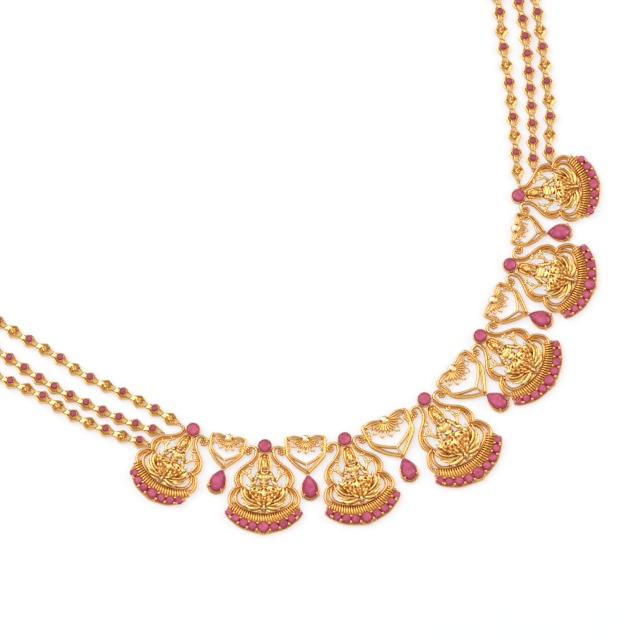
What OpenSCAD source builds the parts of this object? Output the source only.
// Gold necklace lying flat: seven pierced plaques with rubies, six fan hearts with pear drops,
// three strands of diamond links on each side and a plain clasp at the back. Millimetres, +Z up.
// The floor is z = 0 and the front plaque points to -Y.

/* [Plaques] */
// Width of a plaque's outer wire
frame_wire_w = 0.95; // [0.8:0.05:1.05]
// Height of a plaque's outer wire
frame_wire_h = 1.9; // [1.6:0.1:2.2]
// Width of a plaque's inner wires
inner_wire_w = 0.6; // [0.5:0.05:0.7]
// Height of a plaque's inner wires
inner_wire_h = 1.4; // [1:0.1:1.6]
// Height of the ribbed band
band_h = 1.6; // [1.4:0.1:1.8]
// Ribs across the band
ribs = 13; // [9:2:17]
// Height of the strip that carries the row of rubies
strip_h = 1.0; // [0.8:0.1:1.2]
// Height of the prong beads
prong_h = 1.95; // [1.7:0.05:2.1]

/* [Stones] */
// Radius of the round ruby at a plaque's top
crown_stone_r = 1.6; // [1.5:0.05:1.65]
// Length of a pear ruby
pear_l = 5.3; // [5:0.1:5.4]
// Width of a pear ruby
pear_w = 3.7; // [3.4:0.1:3.8]
// Gap between a stone and its seat
stone_gap = 0.08; // [0.05:0.01:0.12]

/* [Hearts] */
// Width of a heart's outer wires
heart_wire_w = 0.75; // [0.6:0.05:0.85]
// Height of a heart's outer wires
heart_wire_h = 1.7; // [1.4:0.1:1.9]
// Radius of the bead on a heart
bead_r = 1.0; // [0.8:0.05:1.1]
// Petals of the fan
petals = 11; // [7:2:11]

/* [Links] */
// Distance between two joints of a strand
link_pitch = 4.5; // [4.4:0.05:4.7]
// Width of a diamond link
link_w = 3.4; // [3:0.1:3.5]
// Height of a diamond link
link_h = 2.3; // [1.9:0.1:2.4]
// Wire of the link rings
ring_wire = 0.24; // [0.22:0.01:0.25]
// Radius of the hole in a link ring
ring_hole_r = 0.4; // [0.39:0.01:0.41]

/* [Clasp] */
// Length of the clasp's barrel box
clasp_l = 12; // [10:0.5:14]
// Width of the clasp
clasp_w = 5; // [4:0.5:6]
// Height of the clasp
clasp_h = 3.2; // [2.8:0.1:3.6]
// Thickness of the end bars
bar_t = 1.6; // [1.4:0.1:2]

/* [Hidden] */
gold = "goldenrod";
ruby = "mediumvioletred";

// Columns of a pose: place, turn from -Y, size
X = 0;
Y = 1;
TURN = 2;
SIZE = 3;

// Plaque sizes: width factor, length factor, rubies on each side of the middle one
SMALL = [0.95, 0.93, 3];
MEDIUM = [1, 1, 4];
LARGE = [1.03, 1.12, 4];

// Plaques from left to right, at their top rubies
PLAQUES = [
    [-51.4, 27.5, -68, SMALL],
    [-39.3, 13.6, -36.8, MEDIUM],
    [-22.1, 3.4, -20.3, MEDIUM],
    [0, 0, 0, LARGE],
    [20.8, 4.9, 20.9, MEDIUM],
    [37.5, 15.3, 40.2, MEDIUM],
    [49.6, 28.4, 63.4, SMALL],
];

// Hearts from left to right, at their beads; size is the width and length factors
HEARTS = [
    [-45.4, 20.6, -47.1, [0.88, 0.9]],
    [-30.0, 9.2, -33.7, [1, 1.02]],
    [-11.2, 1.6, -11.3, [1.22, 1.2]],
    [10.3, 2.3, 14.8, [1.15, 1.2]],
    [28.9, 10.5, 30, [0.96, 1.06]],
    [44.2, 22, 43.7, [0.8, 0.86]],
];

// Turns of the pear drops from left to right
DROP_TURNS = [-58, -28, -13, 22, 34, 57];

// Rubies of a row: across, down, radius
ROW = [
    [0, 20.5, 1.4],
    [2.85, 20.25, 1.0],
    [5.0, 19.45, 1.05],
    [6.95, 18.35, 0.95],
    [8.5, 16.95, 0.85],
];

// Right half of a plaque, across and down from the top ruby
OUTER_WIRE = [
    [2.75, 0.46], [2.1, 1.37], [2.3, 2.66], [3.3, 3.94],
    [4.76, 5.2], [6.0, 6.1], [6.87, 7.6], [7.0, 8.9], [6.15, 10.4],
];
LOBE_WIRE = [[5.9, 10.3], [7.3, 10.9], [8.15, 12.0], [8.6, 13.3], [8.4, 14.4], [7.6, 15.3]];
INNER_WIRE = [[5.2, 6.6], [5.75, 7.8], [5.75, 9.0], [5.4, 10.2]];
LOOP_WIRE = [[5.3, 10.2], [6.4, 11.1], [7.1, 12.5], [6.9, 14.0], [5.7, 15.3], [4.2, 16.0]];
STRIP_EDGE = [
    [0, 18.3], [4.3, 17.4], [7.3, 15.3], [8.6, 15.5], [9.75, 16.75],
    [8.9, 18.1], [7.6, 19.3], [5.7, 20.65], [3.2, 21.5], [0, 22.3],
];
curl_at = [4.2, 1.2];
prong_r = 0.28;
prong_reach = 1.04;

// The band is an arc: its centre is above its ends
band_centre = [0, 6.75];
band_r = 11.2;
band_w = 1.45;
band_half_angle = 45;

// Right half of a heart, across and down from the bead
HEART_CORNER = [4.6, 2.2];
HEART_TOP = [4.75, 0];
HEART_WIRE = [[4.5, 4.0], [3.5, 5.4], [2.0, 6.9]];
HEART_TIP = [0.25, 8.5];
HEART_INNER = [[4.5, 2.7], [4.1, 3.7], [2.3, 5.1], [0.25, 6.3]];

// Flat eyes and the upright rings that join plaques and hearts
eye_hole_r = 0.44;
eye_r = 0.75;
eye_t = 0.4;
eye_z = 1.0;
joint_ring_r = 0.7;
joint_ring_wire = 0.34;
eye_span = 1.6;

// Bail of a drop
tip_eye_hole_r = 0.4;
tip_eye_r = 0.68;
bail_r = 0.44;
bail_wire = 0.28;
bail_z = 0.72;

// Distance between the centres of two linked strand rings, and from a joint to a link's body
ring_offset = 2 * ring_hole_r - 0.2;
body_inset = ring_offset / 2 + ring_hole_r + 0.02;
ring_r = ring_hole_r + ring_wire;
ring_z = 1.0;

// Eyes that hold the strands on the end plaques, across and down from the top ruby
STRAND_EYES = [[3.75, 0.6], [6.1, 4.75], [7.3, 9.1]];

// Routes of the strands from the end plaque to the end bar, then shared points at the back
LEFT_ROUTES = [
    [[-56.3, 37.5], [-60.4, 45.9], [-65.1, 53.9], [-68.1, 62.7], [-71.9, 71.1], [-74.6, 77.9]],
    [[-62.1, 36.5], [-66.8, 44.2], [-71.3, 52.4], [-75.1, 60.8], [-78.2, 69.7]],
    [[-65.1, 34.3], [-69.0, 39.9], [-73.7, 48.2], [-77.2, 57.0], [-82.0, 65.3]],
];
RIGHT_ROUTES = [
    [[55.9, 38.2], [60.7, 46.2], [65.2, 54.1], [69.4, 62.5], [74.1, 70.4], [76.6, 77.0]],
    [[61.2, 38.2], [65.7, 45.1], [70.5, 52.8], [74.9, 60.3], [78.9, 68.7]],
    [[63.9, 35.2], [67.8, 39.8], [72.5, 47.9], [76.9, 55.8], [81.1, 63.7]],
];
BACK_ROUTES = [
    [
        [78.2, 88], [77.8, 100], [75, 112], [69.5, 123],
        [61.5, 133], [51, 141.5], [38, 147.6], [24, 149.6],
    ],
    [
        [82.2, 80], [83.2, 92], [82.2, 104], [79, 115.5], [73.2, 126.5],
        [64.6, 136.8], [53.4, 145.6], [39.5, 151.8], [24, 153.9],
    ],
    [
        [85.8, 74], [88, 86], [88, 99], [85.6, 112], [80.6, 124],
        [72.8, 135.4], [62.4, 145.4], [49.5, 153.1], [34.5, 157.6], [22, 158.2],
    ],
];
route_steps = 6;

// The end bars stand across the strands' ends, and the clasp's rings hold their inner eyes
clasp_ring_x = clasp_l / 2 + 0.55;
bar_x = clasp_ring_x + eye_span / 2 + eye_r - 0.1 + bar_t / 2;
bar_y = 154;
bar_eye_gap = 4.2;
bar_l = 11;
bar_h = 1.9;
bar_eye_x = bar_t / 2 + ring_r - 0.1;

// Middle of the necklace's outline, moved to x = 0, y = 0
middle = [0, 67.46];

strand_names = ["inner", "middle", "outer"];

// A point given across and down becomes a point of the plane
function fit(p, size) = [p.x * size[0], -p.y * size[1]];
function fit_all(points, size) = [for (p = points) fit(p, size)];
function turned(p, a) = [p.x * cos(a) - p.y * sin(a), p.x * sin(a) + p.y * cos(a)];
function world(p, pose) = [pose[X], pose[Y]] + turned(p, pose[TURN]);
function local(p, pose) = turned(p - [pose[X], pose[Y]], -pose[TURN]);
function unit(v) = v / norm(v);
function flip(points) = [for (p = points) [-p.x, p.y]];

// Smooth curve through knots
function blend(a, b, c, d, t) =
    0.5 * (2 * b + (c - a) * t + (2 * a - 5 * b + 4 * c - d) * t * t
    + (3 * b - a - 3 * c + d) * t * t * t);
function curve(knots, steps) = concat(
    [for (i = [0:len(knots) - 2], j = [0:steps - 1])
        blend(knots[max(i - 1, 0)], knots[i], knots[i + 1], knots[min(i + 2, len(knots) - 1)],
            j / steps)],
    [knots[len(knots) - 1]]
);
function lengths(points, i = 0, sum = 0) = i >= len(points) ? [] :
    let (s = i == 0 ? 0 : sum + norm(points[i] - points[i - 1]))
    concat([s], lengths(points, i + 1, s));
// Points at equal distances along a curve, as many as the pitch asks for
function joints(points, pitch) =
    let (s = lengths(points), total = s[len(s) - 1], n = round(total / pitch))
    [for (k = [0:n]) [for (axis = [0, 1])
        lookup(total * k / n, [for (i = [0:len(s) - 1]) [s[i], points[i][axis]]])]];

function side_normal(points, i) =
    let (a = points[max(i - 1, 0)], b = points[min(i + 1, len(points) - 1)], d = unit(b - a))
    [-d.y, d.x];

// A wire of even width along points of the plane
module wire(points, w, h, foot = 0) {
    n = len(points);
    left = [for (i = [0:n - 1]) points[i] + side_normal(points, i) * w / 2];
    right = [for (i = [n - 1:-1:0]) points[i] - side_normal(points, i) * w / 2];
    translate([0, 0, foot]) linear_extrude(h - foot) polygon(concat(left, right));
}

// A ridge along rows of across, down, half width and height: limbs, petals and the body
module ridge(rows, size, foot = 0.3) {
    n = len(rows);
    line = [for (r = rows) fit([r[0], r[1]], size)];
    corners = [
        for (i = [0:n - 1])
            let (q = side_normal(line, i) * rows[i][2], h = rows[i][3])
            each [
                [line[i].x - q.x, line[i].y - q.y, foot],
                [line[i].x + q.x, line[i].y + q.y, foot],
                [line[i].x + 0.55 * q.x, line[i].y + 0.55 * q.y, h],
                [line[i].x - 0.55 * q.x, line[i].y - 0.55 * q.y, h],
            ]
    ];
    polyhedron(points = corners, faces = tube_faces(n));
}
function tube_faces(n) = concat(
    [[0, 1, 2, 3]],
    [for (i = [0:n - 2], j = [0:3])
        [4 * i + j, 4 * i + j + 4, 4 * i + (j + 1) % 4 + 4, 4 * i + (j + 1) % 4]],
    [[4 * n - 1, 4 * n - 2, 4 * n - 3, 4 * n - 4]]
);

// A cut stone: an outline that is narrower at its foot and its table
module cut_stone(outline, factors, heights) {
    n = len(outline);
    rings = len(heights);
    polyhedron(
        points = [for (k = [0:rings - 1], p = outline)
            [p.x * factors[k], p.y * factors[k], heights[k]]],
        faces = concat(
            [[for (j = [0:n - 1]) j]],
            [for (k = [0:rings - 2], j = [0:n - 1])
                [k * n + j, (k + 1) * n + j, (k + 1) * n + (j + 1) % n, k * n + (j + 1) % n]],
            [[for (j = [n - 1:-1:0]) (rings - 1) * n + j]]
        )
    );
}
function round_outline(r, n) = [for (j = [0:n - 1]) r * [cos(360 * j / n), sin(360 * j / n)]];

// A pear with its tip up and its middle at the middle of its length
function pear_outline(length, width, n = 16) = [for (j = [0:n - 1])
    let (a = 90 + 360 * j / n, t = (1 + sin(a)) / 2)
    [width / 2 * cos(a) * (1 - 0.28 * t * t) * 1.05, length / 2 * sin(a)]];

// A round ring that stands along X
module upright_ring(r, thick) {
    rotate([90, 0, 0]) rotate_extrude($fn = 32) translate([r, 0]) circle(r = thick / 2, $fn = 24);
}

module washer(r, hole, t) {
    difference() {
        cylinder(r = r, h = t, center = true, $fn = 32);
        cylinder(r = hole, h = t + 1, center = true, $fn = 32);
    }
}
module eye(p, r, hole, z = eye_z, t = eye_t) {
    translate([p.x, p.y, z]) washer(r, hole, t);
}

// An eye like a strand's ring, tilted about the strand's direction
module strand_eye(p, direction, tilt) {
    translate([p.x, p.y, ring_z]) rotate([0, 0, direction]) rotate([tilt, 0, 0])
    washer(ring_r, ring_hole_r, ring_wire);
}

// The seated figure as ridges: each row gives across, down, half width and height
BODY = [
    [0, 1.86, 0.35, 1.9], [0, 3.2, 0.75, 2.4], [0, 4.5, 0.9, 2.6], [0, 5.3, 0.8, 2.8],
    [0, 6.2, 0.6, 2.4], [0, 6.8, 1.9, 2.2], [0, 8.0, 1.7, 2.7], [0, 9.6, 1.1, 2.3],
    [0, 10.5, 2.0, 2.2], [0, 11.6, 3.8, 2.6], [0, 12.8, 3.3, 2.4], [0, 13.6, 2.4, 2.0],
    [0, 14.8, 3.4, 2.1], [0, 16.2, 2.6, 1.8], [0, 17.6, 0.9, 1.5],
];
HALO = [[1.2, 3.2, 0.35, 1.4], [1.7, 4.6, 0.4, 1.5], [1.5, 6.0, 0.4, 1.7], [1.2, 7.0, 0.4, 1.9]];
FRONT_ARM = [[1.5, 7.0, 0.5, 2.4], [2.6, 8.9, 0.45, 2.4], [3.1, 10.3, 0.5, 2.5], [3.2, 11.2, 0.3, 2.4]];
BACK_ARM = [[1.3, 7.0, 0.4, 1.9], [2.8, 6.5, 0.35, 1.9], [3.3, 5.2, 0.4, 1.9], [3.4, 3.9, 0.3, 1.6]];
BUD_STEM = [[2.2, 7.6, 0.3, 1.8], [3.6, 7.5, 0.3, 1.8], [4.6, 6.7, 0.55, 2.0], [5.3, 5.9, 0.3, 1.6]];
PETAL_HIGH = [[2.8, 13.0, 0.6, 2.0], [4.4, 12.5, 0.65, 2.1], [5.4, 11.2, 0.25, 1.7]];
PETAL_MID = [[2.6, 14.2, 0.6, 2.0], [4.6, 14.0, 0.6, 2.0], [5.9, 12.9, 0.25, 1.6]];
PETAL_LOW = [[2.4, 15.3, 0.6, 1.9], [4.3, 15.6, 0.55, 1.8], [5.9, 14.9, 0.25, 1.5]];

module figure(size) {
    ridge(BODY, size);
    for (side = [0, 1]) mirror([side, 0, 0])
        for (rows = [HALO, FRONT_ARM, BACK_ARM, BUD_STEM, PETAL_HIGH, PETAL_MID, PETAL_LOW])
            ridge(rows, size, 0.35);
}

function band_point(a, r) = band_centre + r * [sin(a), cos(a)];

// The crescent band: its top rises and falls from rib to rib
module ribbed_band(size) {
    n = 2 * ribs;
    heights = [band_h, band_h - 0.35];
    corners = [
        for (i = [0:n])
            let (
                a = band_half_angle * (2 * i / n - 1),
                in = fit(band_point(a, band_r - band_w / 2), size),
                out = fit(band_point(a, band_r + band_w / 2), size),
                h = heights[i % 2]
            )
            each [[in.x, in.y, 0.1], [in.x, in.y, h], [out.x, out.y, h], [out.x, out.y, 0.1]]
    ];
    polyhedron(points = corners, faces = tube_faces(n + 1));
}

// Beads that hold the row of rubies, below and between them
module prongs(size) {
    rubies = [for (i = [0:size[2]]) ROW[i]];
    for (side = [-1, 1], i = [0:size[2] - 1]) {
        a = rubies[i];
        b = rubies[i + 1];
        out = unit([(a.x + b.x) / 2, (a.y + b.y) / 2] - band_centre);
        p = ([a.x, a.y] + [b.x, b.y]) / 2 + prong_reach * out;
        at = fit([side * p.x, p.y], size);
        translate([at.x, at.y, 0.5]) cylinder(r = prong_r, h = prong_h - 0.5, $fn = 16);
    }
}

// Places of a row's rubies: across, down, radius
function row_places(size) = [for (i = [-size[2]:size[2]])
    let (row = ROW[abs(i)]) [sign(i) * row.x, row.y, row.z]];

// The strip under the rubies is drilled below each of them
module strip(size) {
    narrow = size[2] < 4 ? 0.85 : 1;
    edge = [for (p = STRIP_EDGE) fit([p.x * narrow, p.y + (1 - narrow) * p.x * 0.4], size)];
    n = len(edge);
    difference() {
        translate([0, 0, 0.2]) linear_extrude(strip_h - 0.2)
        polygon(concat(edge, [for (i = [n - 2:-1:1]) [-edge[i].x, edge[i].y]]));
        for (row = row_places(size)) {
            at = fit(row, size);
            translate([at.x, at.y, 0]) cylinder(r = 0.6 * row.z, h = 3, $fn = 24);
        }
    }
}

module bezel() {
    difference() {
        cylinder(r = crown_stone_r + 0.35, h = 2.1, $fn = 48);
        translate([0, 0, 1]) cylinder(r = crown_stone_r + stone_gap, h = 2, $fn = 48);
    }
}

module plaque(k) {
    pose = PLAQUES[k];
    size = pose[SIZE];
    color(gold)
    translate([pose[X], pose[Y], 0]) rotate([0, 0, pose[TURN]]) {
        for (side = [-1, 1]) mirror([side < 0 ? 1 : 0, 0, 0]) {
            strands_here = (k == 0 && side < 0) || (k == 6 && side > 0);
            hook = strands_here ? fit(STRAND_EYES[0], [1, 1]) : fit(curl_at, size);
            hook_r = (strands_here ? ring_hole_r : eye_hole_r) + 0.14;
            upper = fit_all(OUTER_WIRE, size);
            wire(concat([hook + hook_r * unit(upper[0] - hook)], upper), frame_wire_w, frame_wire_h);
            if (strands_here) for (p = STRAND_EYES) strand_eye([p.x, -p.y], 0, side * 45);
            else eye(hook, eye_r, eye_hole_r);
            wire(fit_all(LOBE_WIRE, size), frame_wire_w, frame_wire_h);
            wire(fit_all(INNER_WIRE, size), inner_wire_w, inner_wire_h, 0.15);
            wire(fit_all(LOOP_WIRE, size), inner_wire_w, inner_wire_h - 0.1, 0.15);
        }
        bezel();
        wire([fit([-2.2, 1.7], size), fit([2.2, 1.7], size)], 1, 0.9, 0.2);
        ribbed_band(size);
        strip(size);
        prongs(size);
        figure(size);
    }
}

module crown_stone(k) {
    pose = PLAQUES[k];
    color(ruby)
    translate([pose[X], pose[Y], 0])
    cut_stone(round_outline(crown_stone_r, 12), [0.6, 1, 0.6], [1 + stone_gap, 1.75, 2.45]);
}

// The middle and largest ruby of the row under the band
module centre_ruby(k) {
    pose = PLAQUES[k];
    size = pose[SIZE];
    at = fit(ROW[0], size);
    color(ruby)
    translate([pose[X], pose[Y], 0]) rotate([0, 0, pose[TURN]]) translate([at.x, at.y, 0])
    cut_stone(
        round_outline(ROW[0].z * size[0], 12),
        [0.55, 1, 0.6], [strip_h + stone_gap, 1.55, 2.15]
    );
}

// The eye of a plaque that faces a heart, and the heart's eye that it joins
function curl_of(k, side) = world(fit([side * curl_at.x, curl_at.y], PLAQUES[k][SIZE]), PLAQUES[k]);
function heart_eye(k, side) =
    let (
        pose = HEARTS[k],
        curl = side < 0 ? curl_of(k, 1) : curl_of(k + 1, -1),
        corner = world(fit([side * HEART_CORNER.x, HEART_CORNER.y], pose[SIZE]), pose)
    )
    curl + eye_span * unit(corner - curl);
function tip_of(k) = world(fit(HEART_TIP, HEARTS[k][SIZE]), HEARTS[k]);

// A petal widens from the bead and ends in a point
module petal(a, length, half_width) {
    rotate([0, 0, a])
    ridge([
        [0.6, 0, 0.07, 1.5], [0.66 * length, 0, half_width, 1.5],
        [0.9 * length, 0, 0.6 * half_width, 1.3], [length, 0, 0.08, 1.0],
    ], [1, 1], 0.3);
}

module heart_side(k, side) {
    pose = HEARTS[k];
    size = pose[SIZE];
    eye_at = local(heart_eye(k, side), pose);
    tip = fit(HEART_TIP, size);
    top = fit([side * HEART_TOP.x, HEART_TOP.y], size);
    lower = [for (p = HEART_WIRE) fit([side * p.x, p.y], size)];
    last = lower[len(lower) - 1];
    eye(eye_at, eye_r, eye_hole_r);
    wire([top, eye_at + 0.62 * unit(top - eye_at)], heart_wire_w, heart_wire_h);
    wire(
        concat([eye_at + 0.62 * unit(lower[0] - eye_at)], lower, [tip + 0.55 * unit(last - tip)]),
        heart_wire_w, heart_wire_h
    );
    wire([for (p = HEART_INNER) fit([side * p.x + 0.25 * (1 - side) * (p.x < 1 ? 1 : 0), p.y], size)],
        inner_wire_w, heart_wire_h - 0.2, 0.1);
}

// The bead is turned: a straight side and a domed top
module bead() {
    dome = 0.8 * bead_r;
    side_h = 1.55;
    rotate_extrude($fn = 48)
    polygon(concat(
        [[0, 0.1], [bead_r, 0.1]],
        [for (a = [0:30:90]) [bead_r * cos(a), side_h + dome * sin(a)]]
    ));
}

module heart_link(k) {
    pose = HEARTS[k];
    size = pose[SIZE];
    fan = 170;
    color(gold)
    translate([pose[X], pose[Y], 0]) rotate([0, 0, pose[TURN]]) {
        for (side = [-1, 1]) heart_side(k, side);
        wire([fit([0.25, 6.2], size), fit([0.25, 7.6], size)], 0.6, 1.4, 0.2);
        for (i = [0:petals - 1]) {
            a = -90 - fan / 2 + fan * i / (petals - 1);
            side = i == 0 || i == petals - 1;
            length = (side ? 4.7 : 3.4 + 0.5 * sin(180 * i / (petals - 1))) * size[0];
            petal(a, length, side ? 0.5 : 0.33);
            if (!side)
                translate([length * cos(a), length * sin(a), 0.2]) cylinder(r = 0.36, h = 1.5, $fn = 16);
        }
        bead();
        eye(fit(HEART_TIP, size), tip_eye_r, tip_eye_hole_r, bail_z, 0.36);
    }
}

// A drop hangs from the tip of its heart: its bail, its cup and its pear
function drop_pose(k) = [tip_of(k).x, tip_of(k).y, DROP_TURNS[k]];
pear_y = -2 * bail_r - 0.25 - pear_l / 2;

module at_drop(k) {
    pose = drop_pose(k);
    translate([pose[X], pose[Y], 0]) rotate([0, 0, pose[TURN]]) children();
}

module drop_setting(k) {
    rim = 0.3;
    color(gold)
    at_drop(k) {
        translate([0, -bail_r - 0.07, bail_z]) rotate([0, 0, 90]) upright_ring(bail_r, bail_wire);
        translate([0, pear_y, 0])
        difference() {
            linear_extrude(1.3) polygon(pear_outline(pear_l + 2 * rim, pear_w + 2 * rim));
            translate([0, 0, 0.6])
            linear_extrude(1) polygon(pear_outline(pear_l + 0.25, pear_w + 0.25));
        }
        for (side = [-1, 1])
            translate([side * 1.87, pear_y - 2.1, 0]) cylinder(r = 0.42, h = 2.1, $fn = 8);
    }
}

module pear_ruby(k) {
    color(ruby)
    at_drop(k)
    translate([0, pear_y, 0])
    cut_stone(pear_outline(pear_l, pear_w), [0.6, 1, 0.6], [0.6 + stone_gap, 1.5, 2.4]);
}

// One link lies along X between two joints
module link(length, jewelled) {
    half = length / 2 - body_inset;
    for (end = [-1, 1])
        strand_eye([end * (length / 2 - ring_offset / 2), 0], 0, end * 45);
    intersection() {
        linear_extrude(link_h)
        polygon([[-half, -0.2], [0, -link_w / 2], [half, -0.2], [half, 0.2], [0, link_w / 2], [-half, 0.2]]);
        rotate([90, 0, 0]) linear_extrude(link_w + 1, center = true)
        polygon([[-half, 0], [half, 0], [half, 1.2], [0.6, link_h - 0.1], [-0.6, link_h - 0.1], [-half, 1.2]]);
    }
    if (jewelled)
        difference() {
            cylinder(r = 1.15, h = link_h, $fn = 32);
            translate([0, 0, 1.2]) cylinder(r = 0.87, h = 2, $fn = 32);
        }
}

function strand_start(s, left) =
    let (eye = STRAND_EYES[s], u = eye.x + ring_offset / 2)
    left ? world([-u, -eye.y], PLAQUES[0]) : world([u, -eye.y], PLAQUES[6]);
function bar_eye(s, left) = [left ? -bar_x : bar_x, bar_y + (s - 1) * bar_eye_gap];
function strand_end(s, left) = bar_eye(s, left) + [left ? -1 : 1, 0] * (bar_eye_x + ring_offset / 2);
function strand_knots(s, left) =
    let (back = left ? flip(BACK_ROUTES[s]) : BACK_ROUTES[s], end = strand_end(s, left))
    concat(
        [strand_start(s, left)], left ? LEFT_ROUTES[s] : RIGHT_ROUTES[s], back,
        [end + [left ? -9 : 9, 0], end]
    );

module strand(s, left) {
    points = joints(curve(strand_knots(s, left), route_steps), link_pitch);
    for (i = [0:len(points) - 2]) {
        a = points[i];
        b = points[i + 1];
        mid = (a + b) / 2;
        color(gold)
        translate([mid.x, mid.y, 0]) rotate([0, 0, atan2(b.y - a.y, b.x - a.x)])
        link(norm(b - a), s == 1 || i % 2 == (s == 0 ? 1 : 0));
    }
}

module jump_rings() {
    color(gold)
    for (k = [0:5], side = [-1, 1]) {
        curl = side < 0 ? curl_of(k, 1) : curl_of(k + 1, -1);
        eye_at = heart_eye(k, side);
        mid = (curl + eye_at) / 2;
        d = eye_at - curl;
        translate([mid.x, mid.y, eye_z]) rotate([0, 0, atan2(d.y, d.x)])
        upright_ring(joint_ring_r, joint_ring_wire);
    }
}

module end_bar(left) {
    side = left ? -1 : 1;
    color(gold)
    translate([side * bar_x, bar_y, 0]) {
        translate([-bar_t / 2, -bar_l / 2, 0]) cube([bar_t, bar_l, bar_h]);
        for (s = [-1, 0, 1])
            strand_eye([side * bar_eye_x, s * bar_eye_gap], left ? 180 : 0, 45);
        eye([-side * (bar_t / 2 + eye_r - 0.1), 0], eye_r, eye_hole_r);
    }
}

// A plain box clasp with a ring at each end
module clasp() {
    color(gold)
    translate([0, bar_y, 0]) {
        translate([-clasp_l / 2, -clasp_w / 2, 0]) cube([clasp_l, clasp_w, clasp_h]);
        for (side = [-1, 1])
            translate([side * clasp_ring_x, 0, eye_z]) upright_ring(joint_ring_r, joint_ring_wire);
    }
}

module placed() {
    translate([-middle.x, -middle.y, 0]) children();
}

for (k = [0:6]) {
    placed() plaque(k);
    placed() crown_stone(k);
    placed() centre_ruby(k);
}
for (k = [0:5]) {
    placed() heart_link(k);
    placed() drop_setting(k);
    placed() pear_ruby(k);
}
for (s = [0:2]) {
    placed() strand(s, true);
    placed() strand(s, false);
}
placed() jump_rings();
placed() end_bar(true);  // end_bar_left
placed() end_bar(false);  // end_bar_right
placed() clasp();
